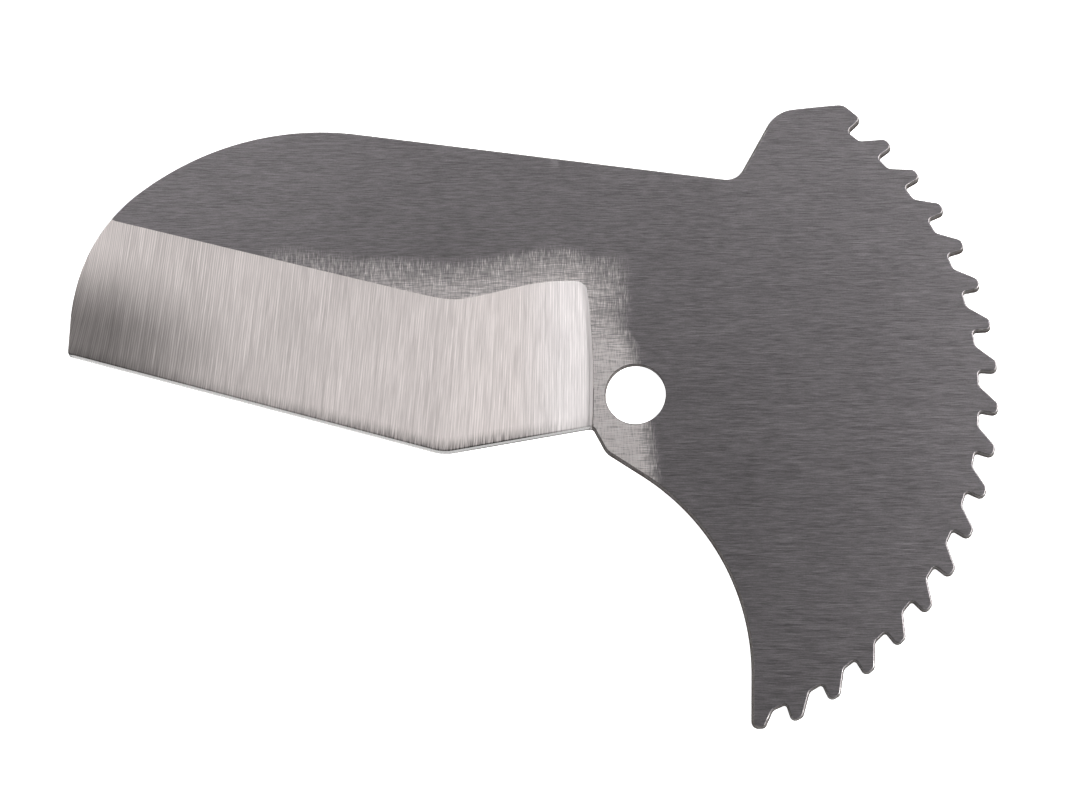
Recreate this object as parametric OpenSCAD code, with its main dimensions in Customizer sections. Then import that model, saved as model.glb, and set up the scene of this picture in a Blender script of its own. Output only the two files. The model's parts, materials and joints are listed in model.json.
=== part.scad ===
// Replacement blade of a ratcheting cutter for plastic pipe. It is one piece of
// blanked steel plate, ground from both faces to a cutting edge.
// The origin is on the pivot bore's axis, at the plate's back face.
// +X points to the ratchet teeth, +Y to the spine and +Z out of the front face.

/* [Plate] */
// Thickness of the plate
plate_t = 2.5; // [2.2:0.1:3]
// Distance from the pivot up to the spine, along +Y
spine_y = 38.4; // [37:0.1:40]
// Fall of the spine towards the ratchet, in degrees
spine_fall = 7.4; // [6:0.1:9]
// Radius of the bay between the heel and the lower horn
bay_r = 38.5; // [36:0.5:41]

/* [Pivot] */
// Diameter of the bore that the cutter's pivot pin runs in
bore_d = 10; // [8:0.1:12]

/* [Ratchet] */
// Radius of the circle through the tooth tips, about the pivot
tip_r = 59.8; // [59:0.1:60.5]
// Depth of the gaps between the teeth
tooth_h = 3.1; // [2.6:0.1:3.4]
// Number of gaps
gap_count = 18; // [16:1:18]
// Angle from one gap to the next, in degrees
gap_pitch = 6.79; // [6.75:0.01:6.82]
// Direction of the lowest gap's middle, in degrees from +X
first_gap = -65.5; // [-66:0.1:-65]

/* [Cutting edge] */
// X of the point where the long and the short stretch of the edge meet
apex_x = -31.9; // [-35:0.1:-31.5]
// Y of the same point
apex_y = -10.1; // [-11:0.1:-9]
// Length of the long stretch, out to the nose
long_edge = 66; // [65.6:0.1:67]
// Rise of the long stretch towards the nose, in degrees
long_rise = 14.6; // [14:0.1:15]
// Length of the short stretch, in to the heel
short_edge = 25.2; // [23:0.1:26]
// Rise of the short stretch towards the heel, in degrees
short_rise = 10; // [9:0.1:11]
// Width of the ground bevel beside both stretches
bevel_w = 24.7; // [20:0.1:26]
// Width of the honed bevel along the edge itself
hone_w = 0.5; // [0.3:0.1:1]
// Angle of the honed bevel on each face, in degrees
hone_angle = 20; // [15:1:25]
// Thickness that is left at the very edge
edge_t = 0.1; // [0.05:0.05:0.2]
// Radius that the rim of the grinding wheel leaves where the bevel stops at the heel
wheel_r = 125; // [100:5:200]

/* [Hidden] */

bore_facets = 96;
wheel_facets = 720;
sagitta = 0.015;      // how far a chord may stand off the arc it stands for
widest_step = 15;     // the most that one chord may turn, in degrees
past = 1;             // how far a cutting solid runs past what it cuts
reach = 200;          // a length greater than the whole blade

root_r = tip_r - tooth_h;
mid_z = plate_t / 2;
heel_gap = 0.2;       // from the end of the edge to the shoulder at the heel

// Angles of a gap's four corners, from the gap's middle
back_top = -3.8;
back_foot = -0.9;
flank_foot = 1.4;
flank_top = 1.0;

function polar(r, a) = r * [cos(a), sin(a)];
function corner(p, r) = [p[0], p[1], r];
function spine_at(x) = [x, spine_y - x * tan(spine_fall)];

apex = [apex_x, apex_y];
nose_end = apex + polar(long_edge, 180 - long_rise);
heel_end = apex + polar(short_edge, short_rise);

// A gap, as rounded corners: down the sloping back, up the hooked flank
function gap(a) = [
    corner(polar(tip_r, a + back_top), 1.15),
    corner(polar(root_r, a + back_foot), 1.2),
    corner(polar(root_r, a + flank_foot), 0.45),
    corner(polar(tip_r, a + flank_top), 0.95)
];

// The lowest tooth is cut off by the lower horn's square end
function all_gaps() = [
    for (i = [0 : gap_count - 1])
        let (corners = gap(first_gap + i * gap_pitch))
            for (k = [(i == 0 ? 1 : 0) : 3]) corners[k]
];

// The outline as [x, y, corner radius], anticlockwise from the nose end of the edge
outline = concat(
    [
        corner(nose_end, 1.3),
        corner(apex, 8),
        corner(heel_end, 0.6),
        [-4.9, -9.7, 3.5],           // step below the heel
        [19.2, -24.9, bay_r],        // bay
        [19.1, -55, 1.2],            // lower horn
        [21.4, -54.9, 0.8]
    ],
    all_gaps(),
    [
        [34.5, 49.1, 2.5],           // upper horn
        [23.2, 48.1, 5.5],
        corner(spine_at(16.7), 3),   // notch at the end of the spine
        corner(spine_at(-67.2), 50), // crown
        [-92.5, 28.5, 28],           // nose
        [-95.4, 14.8, 30]
    ]
);

function unit(v) = v / norm(v);
function turn_per_chord(r) = min(widest_step, 2 * acos(1 - sagitta / r));

// Points along the arc of radius r that rounds corner b, between a and c
function arc_at(a, b, c, r) =
    let (
        to_a = unit(a - b),
        to_c = unit(c - b),
        half = acos(to_a * to_c) / 2,
        centre = b + unit(to_a + to_c) * r / sin(half),
        start = b + to_a * r / tan(half) - centre,
        sweep = sign(cross(to_c, to_a)) * (180 - 2 * half),
        steps = ceil(abs(sweep) / turn_per_chord(r))
    )
    [for (i = [0 : steps]) centre + polar(r, atan2(start[1], start[0]) + sweep * i / steps)];

function xy(corners, i) =
    let (c = corners[(i + len(corners)) % len(corners)]) [c[0], c[1]];

function rounded(corners) = [
    for (i = [0 : len(corners) - 1])
        each arc_at(xy(corners, i - 1), xy(corners, i), xy(corners, i + 1), corners[i][2])
];

// Everything in front of a plane that rises from the edge at apex, away from it.
// The edge runs towards dir, face is +1 for the front and -1 for the back.
module above_facet(dir, face, half_t, angle) {
    translate([apex[0], apex[1], mid_z + face * half_t])
        rotate(dir)
            rotate([face * angle, 0, 0])
                translate([-reach, -reach, face > 0 ? 0 : -reach])
                    cube([2 * reach, 2 * reach, reach]);
}

// Two facets beside the long and the short stretch, which meet in a ridge
module ground_away(half_t, angle) {
    for (dir = [-long_rise, short_rise], face = [1, -1])
        above_facet(dir, face, half_t, angle);
}

// The bevel is as wide as bevel_w and starts from the honed bevel's upper side
module grinding() {
    hone_top = edge_t / 2 + hone_w * tan(hone_angle);
    angle = atan((mid_z - hone_top) / (bevel_w - hone_w));
    ground_away(hone_top - hone_w * tan(angle), angle);
    ground_away(edge_t / 2, hone_angle);
}

// The round area that the wheel grinds: its rim makes the shoulder at the heel
module wheel_area() {
    translate([heel_end[0] + heel_gap - wheel_r, 0, -past])
        cylinder(r = wheel_r, h = plate_t + 2 * past, $fn = wheel_facets);
}

module blade() {
    color([0.42, 0.41, 0.42])
        difference() {
            linear_extrude(plate_t) polygon(rounded(outline));
            intersection() {
                grinding();
                wheel_area();
            }
            translate([0, 0, -past])
                cylinder(d = bore_d, h = plate_t + 2 * past, $fn = bore_facets);
        }
}

blade();
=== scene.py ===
"""The looks of a pipe cutter's steel blade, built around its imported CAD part.

Its sizes are in millimetres, as on a drawing, and put_mesh turns them into metres.
"""

import json
import math

import bmesh
import bpy
import numpy as np
from mathutils import Matrix, Vector
from mathutils.geometry import delaunay_2d_cdt
from mathutils.kdtree import KDTree


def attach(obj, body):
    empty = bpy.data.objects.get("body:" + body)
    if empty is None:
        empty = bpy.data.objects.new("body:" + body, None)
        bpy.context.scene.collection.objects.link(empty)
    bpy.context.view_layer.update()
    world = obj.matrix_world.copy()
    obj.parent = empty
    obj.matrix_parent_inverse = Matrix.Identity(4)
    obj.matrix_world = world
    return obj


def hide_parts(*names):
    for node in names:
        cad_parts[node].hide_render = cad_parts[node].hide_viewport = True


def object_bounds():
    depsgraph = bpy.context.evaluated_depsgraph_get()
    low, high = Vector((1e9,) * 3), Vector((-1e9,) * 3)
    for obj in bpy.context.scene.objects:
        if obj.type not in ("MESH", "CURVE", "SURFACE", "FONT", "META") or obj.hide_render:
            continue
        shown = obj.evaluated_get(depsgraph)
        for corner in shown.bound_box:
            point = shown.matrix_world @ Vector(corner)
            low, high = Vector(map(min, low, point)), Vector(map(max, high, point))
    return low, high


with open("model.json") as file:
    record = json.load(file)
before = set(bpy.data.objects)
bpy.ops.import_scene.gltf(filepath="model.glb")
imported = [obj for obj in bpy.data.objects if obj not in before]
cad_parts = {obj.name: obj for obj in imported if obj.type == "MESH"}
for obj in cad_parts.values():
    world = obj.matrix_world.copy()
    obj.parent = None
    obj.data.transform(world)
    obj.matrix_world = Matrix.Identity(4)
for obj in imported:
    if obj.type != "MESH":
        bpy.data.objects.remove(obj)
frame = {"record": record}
cad_low, cad_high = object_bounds()

MM = 0.001
NODE = "blade"
BORE = next(m for m in frame["record"]["mounts"] if m["kind"] == "bore")
BORE_R = BORE["dims"]["r_mm"]
PLATE_T = cad_high.z / MM
MID_Z = PLATE_T / 2

# The plan, with the same driving dimensions as the CAD part
SPINE_Y = 38.4
SPINE_FALL = math.radians(7.4)
BAY_R = 38.5
TIP_R = 59.8
TOOTH_H = 3.1
GAP_COUNT = 18
GAP_PITCH = 6.79
FIRST_GAP = -65.5
APEX = np.array([-31.9, -10.1])
APEX_ROUND = 8.0
LONG_RISE = math.radians(14.6)
SHORT_RISE = math.radians(10)
LONG_EDGE = 66.0
SHORT_EDGE = 25.2
EDGE_T = 0.1
HONE_W = 0.5
HONE_ANGLE = math.radians(20)
BEVEL_W = 24.7
WHEEL_R = 125.0
WHEEL_X = APEX[0] + SHORT_EDGE * math.cos(SHORT_RISE) + 0.2 - WHEEL_R

# What the real grinding adds to those plain facets
APEX_WIDENING = 0.4
NOSE_NARROWING = 1.05
SHORT_BULGE = 0.55
CREASE_SOFTNESS = 0.8
HEEL_CORNER_R = 1.4
SHOULDER_W = 0.9

# The walls lean in towards the front face: the sheared ones by LEAN, the teeth by less
LEAN = 0.42
TOOTH_LEAN = 0.26
TOOTHED_FROM_R = 55
TOOTHED_FROM_X = 21.5
LEAN_BLEND = 12
# (share of the height, share of the lean, further inset) of each ring, from the back up
RINGS = (
    (0.0, 0.0, HONE_W),
    (0.0, 0.0, 0.1),
    (0.02, 0.0, 0.03),
    (0.06, 0.0, 0.0),
    (0.35, 0.06, 0.0),
    (0.6, 0.3, 0.0),
    (0.8, 0.64, 0.0),
    (0.92, 0.9, 0.0),
    (0.96, 1.0, 0.0),
    (0.982, 1.0, 0.01),
    (0.994, 1.0, 0.06),
    (1.0, 1.0, 0.12),
)
RIM_FROM = 0.9
BORE_CHAMFER = 0.1

# The meshes' spacing, and the distances at which points are welded and slivers removed
OUTLINE_STEP = 0.25
GRID_STEP = 1.2
GRID_CLEAR = 0.6
BORE_STEPS = 128
ARC_STEPS = 6
WELD = 0.002
SLIVER = 0.001

# Where the lines that the faces' meshes follow start and stop. They are made too long and
# then cut off at the ridge, the shoulder and the outline
LINE_BEFORE = -12
LINE_AFTER_LONG = 12
LINE_AFTER_SHORT = 2
SHOULDER_ARC = (-12, 22)
SHOULDER_STEP = 0.4
# The shoulder's own lines, as shares of its width
SHOULDER_SHARES = (1.0, 0.75, 0.5, 0.3, 0.15, 0.06, 0.0)

# An edge of the mesh that bends by more than this is shown crisp
CRISP_BY_THE_HONE = math.radians(8)
CRISP_ON_SHOULDER = math.radians(60)
CRISP_BESIDE_FLAT = math.radians(1.3)
CRISP_ELSEWHERE = math.radians(38)

# The light band above the bevel, as (x, how light it is, how far up it reaches), and the
# one beside the heel, as (y, how light it is, where it ends on the right, how soft that is)
HALO_ABOVE = ((-64, 0.0, 3), (-60, 0.1, 4), (-47, 0.3, 5), (-39, 0.62, 6.5), (-30, 0.88, 7.5),
              (-9, 0.88, 6.5), (-1, 0.0, 6))
HALO_BESIDE = ((-15, 1.25, 4.4, 3.5), (-6, 1.25, 3.4, 4), (4, 1.1, 1.8, 3), (9.8, 0.8, -0.4, 3.5),
               (14, 0.55, -1.5, 5), (18, 0.3, -3, 7), (22, 0.05, -4.5, 7), (25, 0, -5.5, 7))

# The grinding wheel's marks run up the bevel, leaning over the long stretch: (x, lean)
MARK_LEAN = ((-95, 0.3), (-86, 0.15), (-60, 0.1), (-30, 0.08), (-14, 0.0))
MARK_PITCH = 0.42

# The blade's materials, in the order of its slots
PLATE, GROUND, HONED, WALL, RIM = range(5)
# Millimetres of the plan to one unit of the grain's UV map
GRAIN_SPAN = 100

# Colours of the metal, as reflectance
PLATE_TONE = (0.241, 0.226, 0.235, 1)
HALO_TONE = (0.9, 0.84, 0.83, 1)
BEVEL_TONE = (0.648, 0.596, 0.582, 1)
# The bevel's colour by the heel is painted light: lighter and less warm than BEVEL_TONE, where the
# light brightens the bevel
HEEL_LIT_BEVEL_TONE = (0.725, 0.685, 0.681, 1)
HONE_TONE = (0.95, 0.94, 0.93, 1)
WALL_TONE = (0.07, 0.061, 0.056, 1)
TORN_TONE = (0.036, 0.027, 0.023, 1)
RIM_TONE = (0.75, 0.72, 0.7, 1)
RIM_DULL_TONE = (0.1, 0.09, 0.087, 1)
# How much of a mirror the walls stay where they are seen at a glancing angle
WALL_GLANCE = (0.1, 0.09, 0.085, 1)

# The camera stands off the pivot by CAMERA_AWAY, which lies right of and above its axis
TILT_TO_EDGE = math.radians(7.9)
TILT_TO_RATCHET = math.radians(3.8)
CAMERA_AWAY = 3000 / 6.04
PIVOT_RIGHT = 15.8
PIVOT_UP = -0.17
FLOOR_SIZE = 6.0
FLOOR_GAP = 0.0002
FLOOR_GLOW = 1.0


# ---------------------------------------------------------------- the blade's plan

def polar(radius, angle):
    return radius * np.array([math.cos(angle), math.sin(angle)])


def gap_corners(middle):
    """One gap between two teeth: down the sloping back, then up the hooked flank."""
    for radius, turn, rounding in ((TIP_R, -3.8, 1.15), (TIP_R - TOOTH_H, -0.9, 1.2),
                                   (TIP_R - TOOTH_H, 1.4, 0.45), (TIP_R, 1.0, 0.95)):
        yield (*polar(radius, math.radians(middle + turn)), rounding)


def plan_corners():
    """The outline as (x, y, corner radius), anticlockwise from the nose end of the edge."""
    corners = [
        (*(APEX + polar(LONG_EDGE, math.pi - LONG_RISE)), 1.3),
        (*APEX, APEX_ROUND),
        (*(APEX + polar(SHORT_EDGE, SHORT_RISE)), 0.6),
        (-4.9, -9.7, 3.5),
        (19.2, -24.9, BAY_R),
        (19.1, -55.0, 1.2),
        (21.4, -54.9, 0.8),
    ]
    for i in range(GAP_COUNT):
        gap = list(gap_corners(FIRST_GAP + i * GAP_PITCH))
        corners += gap[1:] if i == 0 else gap
    corners += [(34.5, 49.1, 2.5), (23.2, 48.1, 5.5)]
    corners += [(x, SPINE_Y - x * math.tan(SPINE_FALL), r) for x, r in ((16.7, 3), (-67.2, 50))]
    return corners + [(-92.5, 28.5, 28), (-95.4, 14.8, 30)]


def rounded(corners):
    """The outline's points, with an arc at each corner."""
    points = []
    for i, (x, y, radius) in enumerate(corners):
        here = np.array([x, y])
        back = np.array(corners[i - 1][:2]) - here
        on = np.array(corners[(i + 1) % len(corners)][:2]) - here
        back /= np.hypot(*back)
        on /= np.hypot(*on)
        half = math.acos(back @ on) / 2
        centre = here + (back + on) / np.hypot(*(back + on)) * radius / math.sin(half)
        start = here + back * radius / math.tan(half) - centre
        sweep = math.copysign(math.pi - 2 * half, on[0] * back[1] - on[1] * back[0])
        steps = max(ARC_STEPS, math.ceil(abs(sweep) * radius / OUTLINE_STEP))
        first = math.atan2(start[1], start[0])
        points += [centre + polar(radius, first + sweep * k / steps) for k in range(steps + 1)]
    return np.array(points)


def divided(ring, step):
    """The ring with points added so that none are further apart than step."""
    points = []
    for a, b in zip(ring, np.roll(ring, -1, axis=0)):
        count = max(1, math.ceil(math.dist(a, b) / step))
        points += [a + (b - a) * i / count for i in range(count)]
    return np.array(points)


def smoothed(values, reach):
    """A ring's values, averaged with their neighbours out to reach points."""
    return sum(np.roll(values, k) for k in range(-reach, reach + 1)) / (2 * reach + 1)


def inward(ring):
    """For each point, the step inwards that moves its two sides in by one."""
    def normals(a, b):
        d = b - a
        return np.c_[-d[:, 1], d[:, 0]] / np.hypot(*d.T)[:, None]

    before = normals(np.roll(ring, 1, axis=0), ring)
    after = normals(ring, np.roll(ring, -1, axis=0))
    both = before + after
    return both * (2 / np.sum(both * both, axis=1))[:, None]


# ---------------------------------------------------------------- the ground surfaces

def stretch(rise_direction, inward_sign):
    """Unit vectors along a stretch of the edge, away from the apex, and in from it."""
    along = np.array([math.cos(rise_direction), math.sin(rise_direction)])
    return along, inward_sign * np.array([-along[1], along[0]])


LONG_ALONG, LONG_IN = stretch(math.pi - LONG_RISE, -1)
SHORT_ALONG, SHORT_IN = stretch(SHORT_RISE, 1)
HALF_TURN = (LONG_RISE + SHORT_RISE) / 2
BISECTOR = (LONG_IN + SHORT_IN) / np.hypot(*(LONG_IN + SHORT_IN))
ROUND_CENTRE = APEX + BISECTOR * APEX_ROUND / math.cos(HALF_TURN)


def edge_distance(p):
    """Distance in from the edge, whose two stretches meet in a round corner."""
    away = p - ROUND_CENTRE
    reach = np.hypot(*away.T)
    in_fan = -away @ BISECTOR > reach * math.cos(HALF_TURN)
    on_long, on_short = (p - APEX) @ LONG_IN, (p - APEX) @ SHORT_IN
    soft = CREASE_SOFTNESS * np.clip(np.minimum(on_long, on_short) / BEVEL_W, 0, 1)
    straight = (on_long + on_short - np.hypot(on_long - on_short, soft)) / 2
    return np.where(in_fan, APEX_ROUND - reach, straight)


def bevel_width(p):
    """The bevel's width, wider at the apex and narrower at the nose than the plain facets.

    It bulges over the short stretch and rounds off at the heel.
    """
    ridge = edge_distance(p) * math.tan(HALF_TURN)
    far = np.clip(((p - APEX) @ LONG_ALONG - ridge) / LONG_EDGE, 0, 1)
    short_crease = SHORT_EDGE - BEVEL_W * math.tan(HALF_TURN)
    near = np.clip(((p - APEX) @ SHORT_ALONG - ridge) / short_crease, 0, 1.15)
    bulge = SHORT_BULGE * np.sin(math.pi * near ** 2)
    into_corner = np.clip(HEEL_CORNER_R + past_wheel(p), 0, HEEL_CORNER_R)
    cut_off = HEEL_CORNER_R - np.sqrt(HEEL_CORNER_R ** 2 - into_corner ** 2)
    return BEVEL_W + APEX_WIDENING - NOSE_NARROWING * far + bulge - cut_off


def past_wheel(p):
    """Distance outside the circle that the grinding wheel reaches."""
    return np.hypot(p[:, 0] - WHEEL_X, p[:, 1]) - WHEEL_R


def half_thickness(p):
    """Half the plate's thickness at p, with the honed and ground bevels and the shoulder."""
    hone_top = EDGE_T / 2 + HONE_W * math.tan(HONE_ANGLE)
    d = np.maximum(edge_distance(p), 0)
    rise = (MID_Z - hone_top) / (bevel_width(p) - HONE_W)
    ground = np.minimum(hone_top + (d - HONE_W) * rise, EDGE_T / 2 + d * math.tan(HONE_ANGLE))
    ground = np.minimum(ground, MID_Z)
    climb = np.clip(1 + past_wheel(p) / SHOULDER_W, 0, 1)
    return ground + (MID_Z - ground) * (1 - np.sqrt(1 - climb ** 2))


def is_ground(p):
    """Whether p is on the ground bevel or the honed one."""
    return (edge_distance(p) < bevel_width(p)) & (past_wheel(p) < 0)


# ---------------------------------------------------------------- meshing

def ring_of(height, share, inset, ring_in, lean, outline):
    """The points of one of the RINGS round the wall."""
    p = outline + ring_in * (lean * share + inset)[:, None]
    half = half_thickness(p)
    return np.c_[p, np.clip(height * PLATE_T, MID_Z - half, MID_Z + half)]


def bore_ring(radius):
    turn = np.arange(BORE_STEPS) * 2 * math.pi / BORE_STEPS
    return radius * np.c_[np.cos(turn), np.sin(turn)]


def snapped(line, ring):
    """The line cut off where it leaves the ring, and ended on the ring's nearest point."""
    def on_ring(end, leaves):
        return [ring[np.argmin(np.hypot(*(ring - end).T))]] if leaves else []

    inside = inside_ring(line, ring)
    kept = line[inside]
    first = on_ring(kept[0], not inside[0])
    last = on_ring(kept[-1], not inside[-1])
    trimmed = [q for q in kept if all(math.dist(q, e) > OUTLINE_STEP for e in first + last)]
    return np.array(first + trimmed + last)


def inside_ring(points, ring):
    """Even-odd test of each point against the ring."""
    a, b = ring, np.roll(ring, -1, axis=0)
    x, y = points[:, :1], points[:, 1:]
    spans = (a[:, 1] > y) != (b[:, 1] > y)
    with np.errstate(divide="ignore", invalid="ignore"):
        cross_x = a[:, 0] + (y - a[:, 1]) * (b[:, 0] - a[:, 0]) / (b[:, 1] - a[:, 1])
    return np.sum(spans & (x < cross_x), axis=1) % 2 == 1


def crease_corner():
    """Where the bevel's top line turns, above the apex of the edge."""
    corner = APEX + BISECTOR * BEVEL_W
    for _ in range(4):
        corner = corner + BISECTOR * (bevel_width(corner[None]) - edge_distance(corner[None]))[0]
    return corner


def feature_lines():
    """Lines that the faces' meshes follow: the bevel's top, its ridge and the shoulder."""
    lines = []
    for along, across, length, step in (
            (LONG_ALONG, LONG_IN, LONG_EDGE + LINE_AFTER_LONG, 0.8),
            (SHORT_ALONG, SHORT_IN, SHORT_EDGE + LINE_AFTER_SHORT, 0.2)):
        at = np.arange(LINE_BEFORE, length, step)[:, None]
        line = APEX + at * along + BEVEL_W * across
        for _ in range(4):
            line += (bevel_width(line) - edge_distance(line))[:, None] * across
        past_ridge = (line - APEX) @ along > step / 2 + edge_distance(line) * math.tan(HALF_TURN)
        lines.append(np.vstack([crease_corner(), line[past_ridge & (past_wheel(line) < -0.05)]]))
    turn = np.arange(*SHOULDER_ARC, SHOULDER_STEP) / WHEEL_R
    for share in SHOULDER_SHARES:
        radius = WHEEL_R - share * SHOULDER_W
        line = np.c_[WHEEL_X + radius * np.cos(turn), radius * np.sin(turn)]
        lines.append(line[edge_distance(line) < bevel_width(line) - 0.1])
    return lines


def near_finder(points):
    """A tree that finds the nearest of these points."""
    tree = KDTree(len(points))
    for i, p in enumerate(points):
        tree.insert((p[0], p[1], 0), i)
    tree.balance()
    return tree


def face_mesh(ring, bore):
    """Triangles over the plate's face: points and index triples, ring first, bore next."""
    points = [*ring, *bore]
    count = len(ring)
    edges = [(i, (i + 1) % count) for i in range(count)]
    edges += [(count + i, count + (i + 1) % len(bore)) for i in range(len(bore))]
    where = {tuple(p): i for i, p in enumerate(points)}
    for line in feature_lines():
        line = snapped(line, ring)
        ids = []
        for p in line:
            if tuple(p) not in where:
                where[tuple(p)] = len(points)
                points.append(p)
            ids.append(where[tuple(p)])
        edges += list(zip(ids, ids[1:]))
    tree = near_finder(points)
    low, high = ring.min(axis=0), ring.max(axis=0)
    rows = np.arange(low[1], high[1], GRID_STEP * math.sqrt(3) / 2)
    grid = np.array([
        (x + (j % 2) * GRID_STEP / 2, y)
        for j, y in enumerate(rows) for x in np.arange(low[0], high[0], GRID_STEP)
    ])
    grid = grid[inside_ring(grid, ring) & (np.hypot(*grid.T) > BORE_R + GRID_CLEAR)]
    points += [p for p in grid if tree.find((p[0], p[1], 0))[2] > GRID_CLEAR]
    out, _, tris, *_ = delaunay_2d_cdt([Vector(p) for p in points], edges, [], 0, 1e-6)
    out = np.array(out)
    tris = np.array(tris)
    middle = out[tris].mean(axis=1)
    keep = inside_ring(middle, ring) & (np.hypot(*middle.T) > bore_limit(bore))
    return out, tris[keep]


def bore_limit(bore):
    """Just inside the bore's ring, so that only triangles within the hole are left out."""
    return np.hypot(*bore[0]) * math.cos(math.pi / len(bore)) - 0.001


def strip(below, above, count):
    """Quads between two rings of count points, facing outwards."""
    return [(below + i, below + (i + 1) % count, above + (i + 1) % count, above + i)
            for i in range(count)]


def blade_geometry():
    """Points in millimetres and faces of the whole blade, closed."""
    outline = divided(rounded(plan_corners()), OUTLINE_STEP)
    toothed = (np.hypot(*outline.T) > TOOTHED_FROM_R) & (outline[:, 0] > TOOTHED_FROM_X)
    lean = smoothed(np.where(toothed, TOOTH_LEAN, LEAN), LEAN_BLEND)
    steps_in = inward(outline)
    rings = [ring_of(*ring, steps_in, lean, outline) for ring in RINGS]
    count = len(outline)
    points = [np.vstack(rings)]
    faces = []
    for i in range(len(RINGS) - 1):
        faces += strip(i * count, (i + 1) * count, count)
    total = count * len(RINGS)
    # the two faces, which share their outer rings with the wall
    bore_start = {}
    mouth = bore_ring(BORE_R + BORE_CHAMFER)
    for front in (False, True):
        ring = rings[-1 if front else 0][:, :2]
        flat, tris = face_mesh(ring, mouth)
        assert np.allclose(flat[:count], ring, atol=1e-4)
        inner = flat[count:]
        side = 1 if front else -1
        points.append(np.c_[inner, MID_Z + side * half_thickness(inner)])
        shared = (len(RINGS) - 1) * count if front else 0
        index = np.r_[shared + np.arange(count), total + np.arange(len(inner))]
        a, b, c = (flat[tris[:, i]] for i in range(3))
        faces_front = np.cross(b - a, c - a) > 0
        turned = np.where((faces_front == front)[:, None], tris, tris[:, ::-1])
        faces += [tuple(t) for t in index[turned]]
        bore_start[front] = total
        total += len(inner)
    # the bore's wall, with a small chamfer at each mouth
    wall = bore_ring(BORE_R)
    low = total
    for z in (BORE_CHAMFER, PLATE_T - BORE_CHAMFER):
        points.append(np.c_[wall, np.full(len(wall), z)])
    for a, b in ((bore_start[True], low + BORE_STEPS), (low + BORE_STEPS, low),
                 (low, bore_start[False])):
        faces += strip(a, b, BORE_STEPS)
    return np.vstack(points), faces


# ---------------------------------------------------------------- materials

class Tree:
    """Makes one material's nodes. Each call returns the new node's output."""

    def __init__(self, name):
        self.material = bpy.data.materials.new(name)
        self.material.use_nodes = True
        self.nodes = self.material.node_tree.nodes
        self.links = self.material.node_tree.links
        self.nodes.clear()
        self.place = self.add("ShaderNodeTexCoord", output="Object")

    def add(self, kind, output=0, inputs=None, **settings):
        node = self.nodes.new(kind)
        for key, value in settings.items():
            setattr(node, key, value)
        for key, value in (inputs or {}).items():
            if isinstance(value, bpy.types.NodeSocket):
                self.links.new(value, node.inputs[key])
            else:
                node.inputs[key].default_value = value
        return node.outputs[output]

    def math(self, operation, *values):
        return self.add("ShaderNodeMath", inputs=dict(enumerate(values)), operation=operation)

    def product(self, first, *others):
        for other in others:
            first = self.math("MULTIPLY", first, other)
        return first

    def spread(self, value, low, high, to_low=0.0, to_high=1.0, kind="LINEAR"):
        """Maps value from low..high to to_low..to_high and holds it at the ends."""
        return self.add("ShaderNodeMapRange", interpolation_type=kind, clamp=True, inputs={
            "Value": value, "From Min": low, "From Max": high,
            "To Min": to_low, "To Max": to_high})

    def mix(self, share, a, b):
        return self.add("ShaderNodeMix", output=2, inputs={0: share, 6: a, 7: b}, data_type="RGBA")

    def shaded(self, tone, colour):
        """The colour made lighter or darker by tone, which is 1 where it stays the same."""
        channels = {i: self.product(tone, value) for i, value in enumerate(colour[:3])}
        return self.add("ShaderNodeCombineColor", inputs=channels)

    def grain(self, length, width, lean=0.0, detail=2.0, seed=0.0, place=None):
        """Noise in streaks of length by width millimetres, turned by lean from X."""
        placed = self.add("ShaderNodeMapping", vector_type="TEXTURE", inputs={
            "Vector": place or self.place,
            "Rotation": (0, 0, lean),
            "Scale": (length * MM, width * MM, 1.0)})
        moved = self.add("ShaderNodeVectorMath", operation="ADD", inputs={
            0: placed, 1: (seed, seed * 1.7, seed * 0.3)})
        return self.add("ShaderNodeTexNoise", noise_dimensions="3D", inputs={
            "Vector": moved, "Scale": 1.0, "Detail": detail, "Roughness": 0.6})

    def varied(self, noise, amount):
        """A tone about 1 that follows the noise, and differs by up to amount each way."""
        return self.spread(noise, 0.3, 0.7, 1 - amount, 1 + amount)

    def attribute(self, name):
        """A measure that finish_blade stored at each point."""
        return self.add("ShaderNodeAttribute", output="Fac", attribute_name=name)

    def axis(self, index):
        """The place along one axis, in millimetres."""
        metres = self.add("ShaderNodeSeparateXYZ", output=index, inputs={0: self.place})
        return self.product(metres, 1 / MM)

    def bump(self, height, distance):
        return self.add("ShaderNodeBump", inputs={"Height": height, "Distance": distance * MM})

    def steel(self, colour, roughness, normal, spread_along=None, anisotropy=0.0,
              metallic=1.0, glance=(1, 1, 1, 1)):
        """Bare metal, whose brushing spreads its reflections along "x" or "y".

        Seen at a glancing angle, it stays a mirror by the share that glance gives.
        """
        tangent = self.add("ShaderNodeTangent", direction_type="UV_MAP", uv_map="grain")
        shader = self.add("ShaderNodeBsdfPrincipled", inputs={
            "Base Color": colour, "Metallic": metallic, "Roughness": roughness, "Normal": normal,
            "Specular Tint": glance, "Anisotropic": anisotropy, "Tangent": tangent,
            "Anisotropic Rotation": 0.25 if spread_along == "y" else 0.0})
        output = self.nodes.new("ShaderNodeOutputMaterial")
        self.links.new(shader, output.inputs["Surface"])
        return self.material


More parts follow.
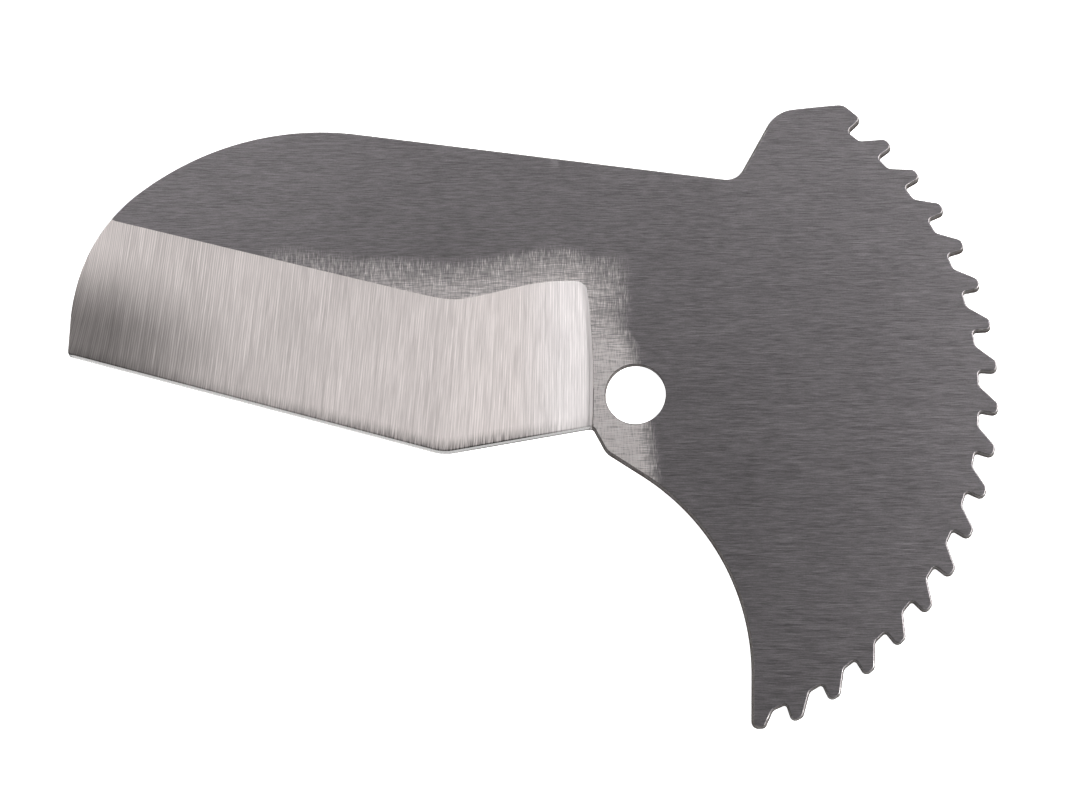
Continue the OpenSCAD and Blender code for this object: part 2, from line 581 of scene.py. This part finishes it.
def plate_steel():
    """Dark plate brushed along X, with the light, cross-scratched band beside the bevel."""
    t = Tree("brushed_plate")
    hairs = t.grain(2.2, 0.11, seed=1)
    strands = t.grain(7, 0.22, seed=7)
    cloud = t.grain(45, 14, seed=3)
    grit = t.grain(0.3, 0.2, seed=17)
    tone = t.product(t.varied(hairs, 0.3), t.varied(strands, 0.11), t.varied(cloud, 0.05),
                     t.varied(grit, 0.1))
    specks = t.spread(t.grain(0.35, 0.2, lean=0.4, seed=21), 0.74, 0.8, 0, 0.7)
    nicks = t.spread(t.grain(3.5, 0.14, lean=-0.3, seed=23), 0.73, 0.8, 0, 0.4)
    dark = t.shaded(t.math("ADD", tone, t.math("ADD", specks, nicks)), PLATE_TONE)
    crossing = t.grain(1.6, 0.11, lean=math.pi / 2, seed=11)
    halo = t.attribute("halo_amount")
    hatched = t.product(halo, t.varied(crossing, 0.4), t.varied(hairs, 0.5))
    at_rim = t.product(t.spread(halo, 0.0, 0.08), t.spread(halo, 0.6, 0.2))
    fringe = t.product(at_rim, t.spread(crossing, 0.5, 0.72, 0, 0.7))
    light = t.shaded(t.product(t.varied(crossing, 0.1), t.varied(hairs, 0.16)), HALO_TONE)
    colour = t.mix(t.spread(t.math("ADD", hatched, fringe), 0.0, 1.0), dark, light)
    height = t.math("ADD", t.math("ADD", hairs, strands), t.product(crossing, halo))
    return t.steel(colour, t.spread(strands, 0.3, 0.7, 0.38, 0.46), t.bump(height, 0.005), "y", 0.6)


def ground_steel():
    """The bevel: bright, with the wheel's marks across it, and darker at the nose, partly from a
    duller grind and partly by painted shade for its darker reflection there.
    """
    t = Tree("ground_bevel")
    across = t.add("ShaderNodeCombineXYZ", inputs={
        0: t.product(t.attribute("across_marks"), MM), 1: t.product(t.axis(1), MM)})
    marks = t.grain(5.5, 0.14, lean=math.pi / 2, seed=5, place=across)
    hairs = t.grain(2.5, 0.1, lean=math.pi / 2, seed=6, place=across)
    bands = t.grain(25, 0.7, lean=math.pi / 2, seed=9, place=across)
    cloud = t.grain(16, 9, lean=math.pi / 2, seed=12)
    waver = t.spread(bands, 0.3, 0.7, -1.5, 1.5)
    turn = t.math("ADD", t.product(t.attribute("across_marks"), 2 * math.pi / MARK_PITCH), waver)
    ripple = t.product(t.math("SINE", turn), t.spread(marks, 0.35, 0.65, 0.03, 0.11),
                       t.spread(t.axis(0), -55, -75, 1.0, 2.0))
    depth = t.attribute("edge_distance")
    # Painted shade, partly a duller grind: the darkening towards the nose stands in for the bevel's
    # darker reflection there
    nose = t.product(t.spread(t.axis(0), -62, -91, kind="SMOOTHSTEP"),
                     t.spread(depth, 20, 6, kind="SMOOTHSTEP"))
    dull = t.product(nose, t.spread(bands, 0.3, 0.7, 0.7, 0.62))
    at_apex = t.product(t.spread(t.axis(0), -70, -36, 0.4), t.spread(t.axis(0), -22, -9, 1.0, 0.3))
    cuts = t.grain(3, 0.13, lean=math.pi / 2, seed=31, place=across)
    strokes = t.product(t.spread(depth, 2.8, HONE_W), t.spread(cuts, 0.4, 0.58), 0.65)
    shade = t.product(t.math("ADD", t.spread(depth, 2.2, HONE_W, 0, 0.22), strokes), at_apex)
    lip = t.product(t.spread(depth, HONE_W + 0.3, HONE_W + 0.1),
                    t.spread(t.axis(0), -36, -28, 0.45, 0.8),
                    t.spread(t.axis(0), -18, -9, 1.0, 0.4))
    tone = t.product(t.varied(marks, 0.08), t.varied(hairs, 0.06), t.varied(bands, 0.04),
                     t.varied(cloud, 0.05))
    tone = t.math("ADD", tone, ripple)
    for loss in (dull, shade, lip):
        tone = t.product(tone, t.math("SUBTRACT", 1.0, loss))
    height = t.math("ADD", marks, bands)
    # Painted light: the bevel made lighter and less warm towards the heel, where the light
    # brightens it
    colour = t.mix(t.spread(t.axis(0), -20, -12), t.shaded(tone, BEVEL_TONE),
                   t.shaded(tone, HEEL_LIT_BEVEL_TONE))
    return t.steel(colour, t.spread(marks, 0.3, 0.7, 0.37, 0.43),
                   t.bump(height, 0.005), "x", 0.6)


def honed_steel():
    """The narrow honed bevel: polished, and darker at the very edge, most of all over the short
    stretch.
    """
    t = Tree("honed_edge")
    marks = t.grain(4, 0.12, lean=math.pi / 2, seed=2)
    least = t.spread(t.axis(0), -36, -26, 0.5, 0.1)
    darker_at_edge = t.spread(t.attribute("edge_distance"), 0.1, 0.2, least, 1.0)
    return t.steel(t.shaded(t.product(darker_at_edge, t.varied(marks, 0.05)), HONE_TONE), 0.14,
                   t.bump(marks, 0.001))


def cut_steel():
    """The walls: dull and brown low down, where the plate tore, and streaked up their height."""
    t = Tree("cut_wall")
    streaks = t.grain(0.3, 0.3, detail=3, seed=4)
    tear = t.math("ADD", t.axis(2), t.spread(t.grain(1.6, 1.6, seed=8), 0.3, 0.7, -0.4, 0.4))
    torn = t.spread(tear, 1.9, 1.2, kind="SMOOTHSTEP")
    tone = t.varied(streaks, 0.35)
    colour = t.mix(torn, t.shaded(tone, WALL_TONE), t.shaded(tone, TORN_TONE))
    return t.steel(colour, t.spread(torn, 0.0, 1.0, 0.45, 0.7), t.bump(streaks, 0.015),
                   metallic=0.5, glance=WALL_GLANCE)


def rim_steel():
    """The walls' top corner, rubbed bright in places."""
    t = Tree("rubbed_rim")
    rubbed = t.spread(t.grain(1.2, 1.2, detail=3, seed=14), 0.56, 0.7)
    colour = t.mix(rubbed, RIM_DULL_TONE, RIM_TONE)
    return t.steel(colour, 0.35, t.bump(t.grain(0.2, 0.2, seed=15), 0.004))


# ---------------------------------------------------------------- putting it together

def smoothstep(value, low, high):
    share = np.clip((value - low) / (high - low), 0, 1)
    return share * share * (3 - 2 * share)


def halo_amount(p):
    """How light the scratched band beside the bevel is, from 0 on the plate to 1 by the heel."""
    x, y = p.T
    place, level, reach = zip(*HALO_ABOVE)
    beyond = edge_distance(p) - bevel_width(p) + 1
    above = np.interp(x, place, level) * np.clip(1 - beyond / np.interp(x, place, reach), 0, 1)
    place, level, end, softness = zip(*HALO_BESIDE)
    to_end = (np.interp(y, place, end) - x) / np.interp(y, place, softness)
    beside = np.interp(y, place, level) * smoothstep(to_end, 0, 1) * (past_wheel(p) > -SHOULDER_W)
    return np.maximum(above, beside)


def across_marks(p):
    """Distance across the grinding marks, which lean more over the long stretch."""
    return p[:, 0] - p[:, 1] * np.interp(p[:, 0], *zip(*MARK_LEAN))


def put_mesh(name, points, faces, materials):
    """Makes an object of points in millimetres and faces, and welds what lies together."""
    mesh = bpy.data.meshes.new(name)
    mesh.from_pydata([tuple(p) for p in points * MM], [], faces)
    made = bmesh.new()
    made.from_mesh(mesh)
    bmesh.ops.remove_doubles(made, verts=made.verts, dist=WELD * MM)
    bmesh.ops.dissolve_degenerate(made, edges=made.edges, dist=SLIVER * MM)
    made.to_mesh(mesh)
    made.free()
    for material in materials:
        mesh.materials.append(material)
    piece = bpy.data.objects.new(name, mesh)
    bpy.context.scene.collection.objects.link(piece)
    return piece


def read_vectors(items, key):
    """One vector of each vertex or face, as rows of numbers."""
    values = np.empty(len(items) * 3)
    items.foreach_get(key, values)
    return values.reshape(-1, 3)


def finish_blade(piece):
    """Materials by place, the grain's direction as a UV map, and what the shaders measure."""
    mesh = piece.data
    plan = read_vectors(mesh.vertices, "co")[:, :2] / MM
    for measure in (halo_amount, edge_distance, across_marks):
        layer = mesh.attributes.new(measure.__name__, "FLOAT", "POINT")
        layer.data.foreach_set("value", measure(plan).astype(np.float32))
    corner = np.empty(len(mesh.loops), dtype=np.int32)
    mesh.loops.foreach_get("vertex_index", corner)
    grain_map = (plan[corner] / GRAIN_SPAN).ravel().astype(np.float32)
    mesh.uv_layers.new(name="grain").data.foreach_set("uv", grain_map)
    normal = read_vectors(mesh.polygons, "normal")
    middle, height = np.split(read_vectors(mesh.polygons, "center") / MM, [2], axis=1)
    height = height[:, 0]
    steep = np.abs(normal[:, 2]) < 0.5
    ground = is_ground(middle)
    honed = ground & (edge_distance(middle) < HONE_W) & (past_wheel(middle) < -SHOULDER_W / 2)
    in_bore = np.hypot(*middle.T) < BORE_R + BORE_CHAMFER
    rim = (normal[:, 2] < 0.97) & (height > RIM_FROM * PLATE_T)
    kind = np.select([steep | in_bore, honed, ground, rim], [WALL, HONED, GROUND, RIM], PLATE)
    mesh.polygons.foreach_set("material_index", kind.astype(np.int32))
    mesh.polygons.foreach_set("use_smooth", np.ones(len(kind), dtype=bool))
    mark_crisp(mesh)
    mesh.update()


def crisp_limit(edge):
    """The bend beyond which this edge of the mesh is shown crisp."""
    here = np.array([(edge.verts[0].co + edge.verts[1].co) / 2 / MM])[:, :2]
    beyond = past_wheel(here)[0]
    if edge_distance(here)[0] < 1.0 and beyond < 0:
        return CRISP_BY_THE_HONE
    if -0.95 * SHOULDER_W < beyond < -0.01:
        return CRISP_ON_SHOULDER
    if any(abs(face.normal.z) > 0.999 for face in edge.link_faces):
        return CRISP_BESIDE_FLAT
    return CRISP_ELSEWHERE


def mark_crisp(mesh):
    """Marks the edges to show crisp: the bevel's top line, the hone's and the walls' corners."""
    made = bmesh.new()
    made.from_mesh(mesh)
    for edge in made.edges:
        edge.smooth = len(edge.link_faces) == 2 and edge.calc_face_angle(0) < crisp_limit(edge)
    made.to_mesh(mesh)
    made.free()


blade = put_mesh("blade_steel", *blade_geometry(),
                 [plate_steel(), ground_steel(), honed_steel(), cut_steel(), rim_steel()])
finish_blade(blade)
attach(blade, "root")
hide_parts(NODE)


# ---------------------------------------------------------------- stage

def softbox(name, place, size, power):
    """A rectangular light that faces the pivot. Place and size are in metres."""
    light = bpy.data.lights.new(name, "AREA")
    light.shape = "RECTANGLE"
    light.size, light.size_y = size
    light.energy = power
    lamp = bpy.data.objects.new(name, light)
    lamp.location = place
    lamp.rotation_euler = (-Vector(place)).to_track_quat("-Z", "Y").to_euler()
    bpy.context.scene.collection.objects.link(lamp)


def studio_world():
    """White at the horizon and dark overhead, so that the flat steel reflects the softboxes."""
    world = bpy.data.worlds.new("studio")
    world.use_nodes = True
    nodes, links = world.node_tree.nodes, world.node_tree.links
    split = nodes.new("ShaderNodeSeparateXYZ")
    links.new(nodes.new("ShaderNodeTexCoord").outputs["Generated"], split.inputs[0])
    lowness = nodes.new("ShaderNodeMath")
    lowness.operation = "SUBTRACT"
    lowness.inputs[0].default_value = 1.0
    links.new(split.outputs["Z"], lowness.inputs[1])
    fall = nodes.new("ShaderNodeMath")
    fall.operation = "POWER"
    fall.inputs[1].default_value = 2.0
    links.new(lowness.outputs[0], fall.inputs[0])
    links.new(fall.outputs[0], nodes["Background"].inputs["Strength"])
    nodes["Background"].inputs["Color"].default_value = (1, 1, 1, 1)
    bpy.context.scene.world = world


def floor():
    """Pale paper that glows, which hides the blade's shadow."""
    mesh = bpy.data.meshes.new("floor")
    half = FLOOR_SIZE / 2
    mesh.from_pydata([(-half, -half, 0), (half, -half, 0), (half, half, 0), (-half, half, 0)],
                     [], [(0, 1, 2, 3)])
    piece = bpy.data.objects.new("floor", mesh)
    piece.location.z = cad_low.z - FLOOR_GAP
    material = bpy.data.materials.new("floor_paper")
    material.use_nodes = True
    shader = material.node_tree.nodes["Principled BSDF"]
    for key, value in (("Base Color", (0.9, 0.9, 0.9, 1)), ("Roughness", 0.9),
                       ("Specular IOR Level", 0.1), ("Emission Color", (1, 1, 1, 1)),
                       ("Emission Strength", FLOOR_GLOW)):
        shader.inputs[key].default_value = value
    mesh.materials.append(material)
    bpy.context.scene.collection.objects.link(piece)
    return piece


def camera():
    """Looks at the blade almost square on, a little from the edge and ratchet sides."""
    data = bpy.data.cameras.new("camera")
    data.sensor_width = 36
    data.lens = 100
    data.clip_start = 0.01
    made = bpy.data.objects.new("camera", data)
    turn = Matrix.Rotation(TILT_TO_EDGE, 3, "X") @ Matrix.Rotation(TILT_TO_RATCHET, 3, "Y")
    at = turn @ Vector((-PIVOT_RIGHT, -PIVOT_UP, CAMERA_AWAY)) + Vector((0, 0, PLATE_T))
    made.matrix_world = Matrix.Translation(at * MM) @ turn.to_4x4()
    bpy.context.scene.collection.objects.link(made)
    return made


floor()
studio_world()
softbox("back_strip", (0.0, 0.2, 0.25), (0.5, 0.1), 0.375)
softbox("left_back_softbox", (-0.25, 0.3, 0.3), (0.6, 0.3), 0.285)
softbox("left_softbox", (-0.35, 0.1, 0.3), (0.2, 0.5), 0.26)
softbox("right_softbox", (0.5, 0.0, 0.4), (0.4, 0.6), 8.5)
softbox("front_strip", (0.0, -0.3, 0.48), (0.8, 0.1), 0.15)
bpy.context.scene.camera = camera()
bpy.context.scene.view_settings.view_transform = "Standard"
